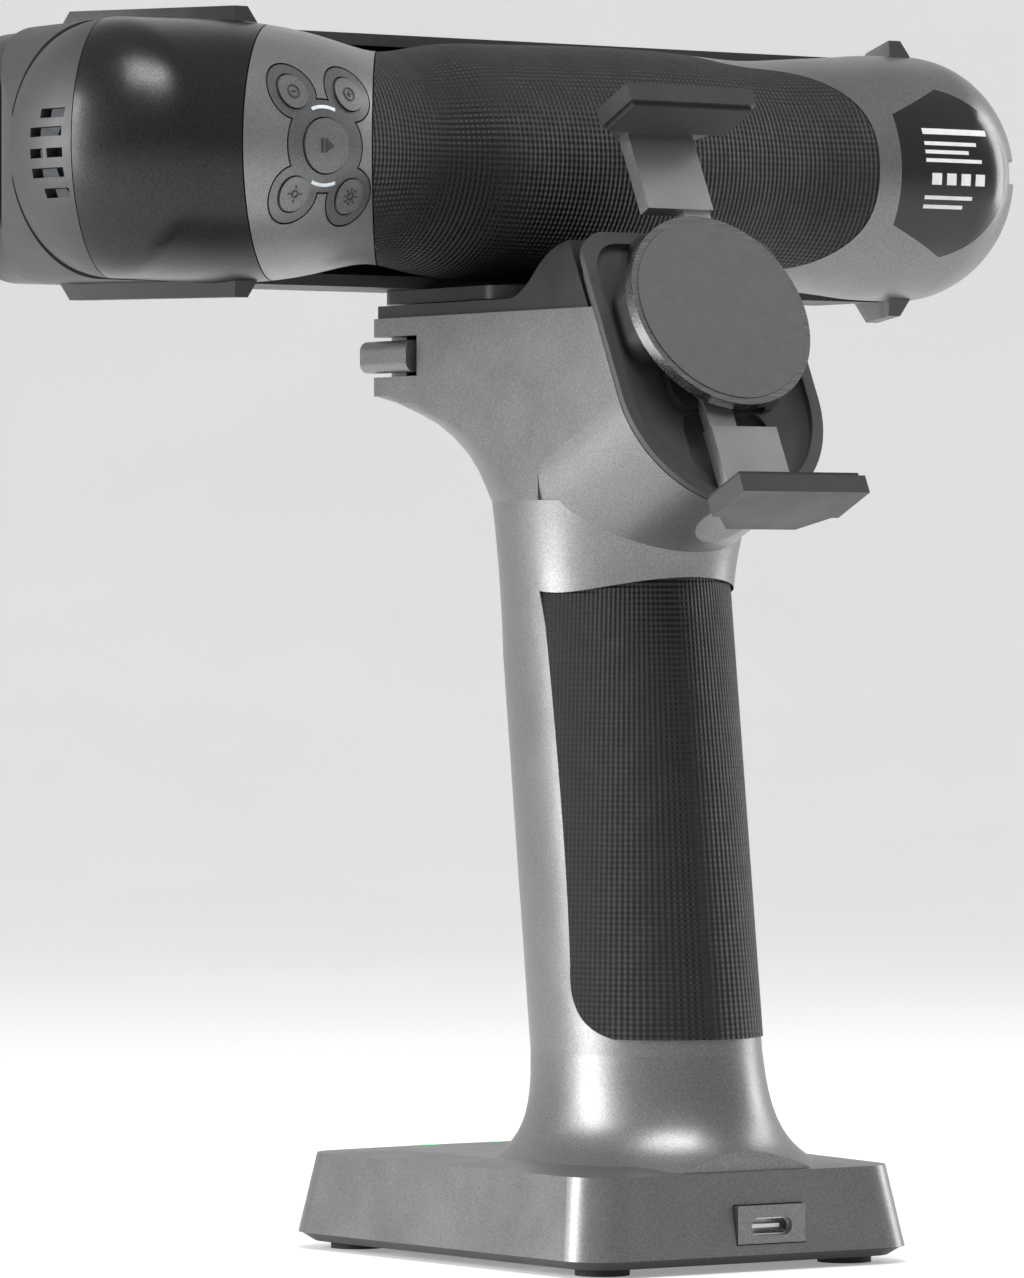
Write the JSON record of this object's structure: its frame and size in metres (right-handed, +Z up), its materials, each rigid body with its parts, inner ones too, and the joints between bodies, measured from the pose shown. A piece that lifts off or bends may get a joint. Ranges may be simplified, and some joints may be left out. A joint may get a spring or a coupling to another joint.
{
  "type": "handheld scanner",
  "caption": "Handheld 3-D scanner with keypad and end cameras, lying on a charging handle that has a sliding phone clamp behind its head.",
  "frame": {"origin": "middle of the foot, on the desk", "axes": "+X along the scanner to the user's right, +Y the way the scanner looks, +Z up"},
  "size_m": [0.216, 0.1273, 0.2276],
  "materials": {
    "silver_paint": "fine metallic paint, satin",
    "dark_metallic": "dark metallic paint, satin",
    "black_textured_rubber": "fine diamond texture",
    "black_plastic": "satin",
    "grey_plastic": "satin",
    "rubber": "matte",
    "steel": "brushed",
    "aluminium": "satin",
    "circuit_board": "solder mask",
    "glass": "polished",
    "light_pipe": "clear, lit green"
  },
  "bodies": {
    "stand": {"ballast_plate": "steel", "base_cover": "black_plastic", "base_screws": "steel", "battery_cells": "steel", "battery_contacts": "black_plastic", "battery_light_pipes": "light_pipe", "charging_board": "circuit_board", "clamp_body": "black_plastic", "control_board": "circuit_board", "disc_pad": "grey_plastic", "disc_rim": "steel", "grip_inlay": "black_textured_rubber", "head_top_cover": "black_plastic", "latch_spring": "steel", "main_shell": "silver_paint", "mount_plate": "grey_plastic", "port_surround": "black_plastic", "rubber_feet": "rubber", "usb_c_socket": "steel"},
    "scanner": {"left_end_cap": "silver_paint", "barrel_cover": "dark_metallic", "button_panel": "silver_paint", "button_bezel": "grey_plastic", "grip_sleeve": "black_textured_rubber", "right_shell": "silver_paint", "label_plate": "black_plastic", "data_socket": "black_plastic", "front_housing": "silver_paint", "projector_window": "glass", "bumper_ribs": "black_plastic", "left_visor": "black_plastic", "right_visor": "black_plastic", "left_camera": "black_plastic", "right_camera": "black_plastic", "left_camera_glass": "glass", "right_camera_glass": "glass", "light_rings": "circuit_board", "projector": "black_plastic", "colour_camera": "black_plastic", "chassis_plate": "aluminium", "main_board": "circuit_board", "button_board": "circuit_board", "cooling_fan_frame": "black_plastic", "quick_release_plate": "grey_plastic", "tripod_screw": "steel"},
    "fan": {"cooling_fan_rotor": "black_plastic"},
    "latch": {"release_latch": "grey_plastic"},
    "upper_clamp": {"upper_arm": "aluminium", "upper_jaw": "black_plastic", "upper_jaw_pad": "rubber"},
    "lower_clamp": {"lower_arm": "aluminium", "lower_jaw": "black_plastic", "lower_jaw_pad": "rubber"},
    "scan_button": {"scan_button": "grey_plastic"},
    "zoom_out_button": {"zoom_out_button": "grey_plastic"},
    "zoom_in_button": {"zoom_in_button": "grey_plastic"},
    "light_down_button": {"light_down_button": "grey_plastic"},
    "light_up_button": {"light_up_button": "grey_plastic"}
  },
  "joints": [
    {"name": "scanner_lift_off", "type": "slide", "parent": "stand", "child": "scanner", "axis": [0, 0, 1], "range_m": [0, 0.03]},
    {"name": "fan_spin", "type": "hinge", "parent": "scanner", "child": "fan", "pos_m": [0.0644, 0.0244, 0.2012], "axis": [1, 0, 0], "continuous": true},
    {"name": "latch_press", "type": "slide", "parent": "stand", "child": "latch", "axis": [1, 0, 0], "range_m": [0, 0.0012], "stiffness_N_per_m": 900, "deforming": ["latch_spring"]},
    {"name": "upper_clamp_slide", "type": "slide", "parent": "stand", "child": "upper_clamp", "axis": [0, 0.4305, 0.9026], "range_m": [-0.007, 0.01]},
    {"name": "lower_clamp_slide", "type": "slide", "parent": "stand", "child": "lower_clamp", "axis": [0, 0.4305, 0.9026], "range_m": [-0.01, 0.007]},
    {"name": "scan_button_press", "type": "slide", "parent": "scanner", "child": "scan_button", "axis": [0, 1, 0], "range_m": [0, 0.0006], "stiffness_N_per_m": 600},
    {"name": "zoom_out_button_press", "type": "slide", "parent": "scanner", "child": "zoom_out_button", "axis": [0, 1, 0], "range_m": [0, 0.0006], "stiffness_N_per_m": 600},
    {"name": "zoom_in_button_press", "type": "slide", "parent": "scanner", "child": "zoom_in_button", "axis": [0, 1, 0], "range_m": [0, 0.0006], "stiffness_N_per_m": 600},
    {"name": "light_down_button_press", "type": "slide", "parent": "scanner", "child": "light_down_button", "axis": [0, 1, 0], "range_m": [0, 0.0006], "stiffness_N_per_m": 600},
    {"name": "light_up_button_press", "type": "slide", "parent": "scanner", "child": "light_up_button", "axis": [0, 1, 0], "range_m": [0, 0.0006], "stiffness_N_per_m": 600}
  ],
  "couplings": [
    {"joint": "lower_clamp_slide", "follows": "upper_clamp_slide", "ratio": -1}
  ]
}
